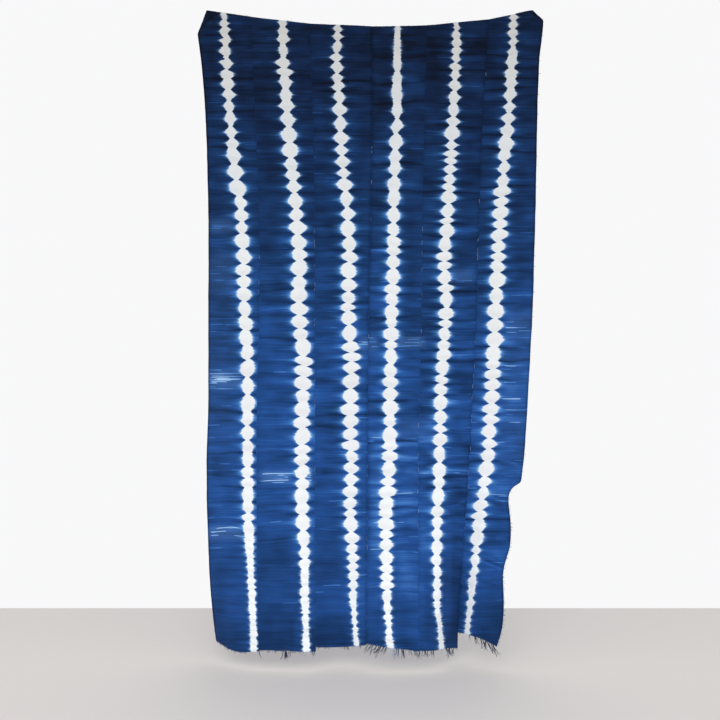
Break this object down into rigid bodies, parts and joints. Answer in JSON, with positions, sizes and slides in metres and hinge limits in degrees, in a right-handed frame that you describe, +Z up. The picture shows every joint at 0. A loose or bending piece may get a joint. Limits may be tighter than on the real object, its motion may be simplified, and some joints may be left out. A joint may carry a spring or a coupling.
{
  "type": "hanging indigo cloth",
  "caption": "Hand-woven indigo cloth of narrow bands sewn edge to edge, with pale beaded resist-dyed stripes and a raw fringed hem, hanging by its top corners.",
  "frame": {"origin": "middle of the cloth's top edge", "axes": "+Z up along the cloth's length, +X to the right as seen from the front, the front faces -Y"},
  "size_m": [0.9673, 0.0913, 1.8222],
  "materials": {
    "indigo_cotton": "matte hand-woven cotton, dyed deep indigo at the top and brighter lower down, with undyed beaded stripes",
    "cotton_yarn": "matte loose cotton yarn, dark indigo"
  },
  "bodies": {
    "root": {"strip_1": "indigo_cotton", "strip_2": "indigo_cotton", "strip_3": "indigo_cotton", "strip_4": "indigo_cotton", "strip_5": "indigo_cotton", "strip_6": "indigo_cotton", "fringe_1": "cotton_yarn", "fringe_2": "cotton_yarn", "fringe_3": "cotton_yarn", "fringe_4": "cotton_yarn", "fringe_5": "cotton_yarn", "fringe_6": "cotton_yarn"}
  },
  "joints": []
}
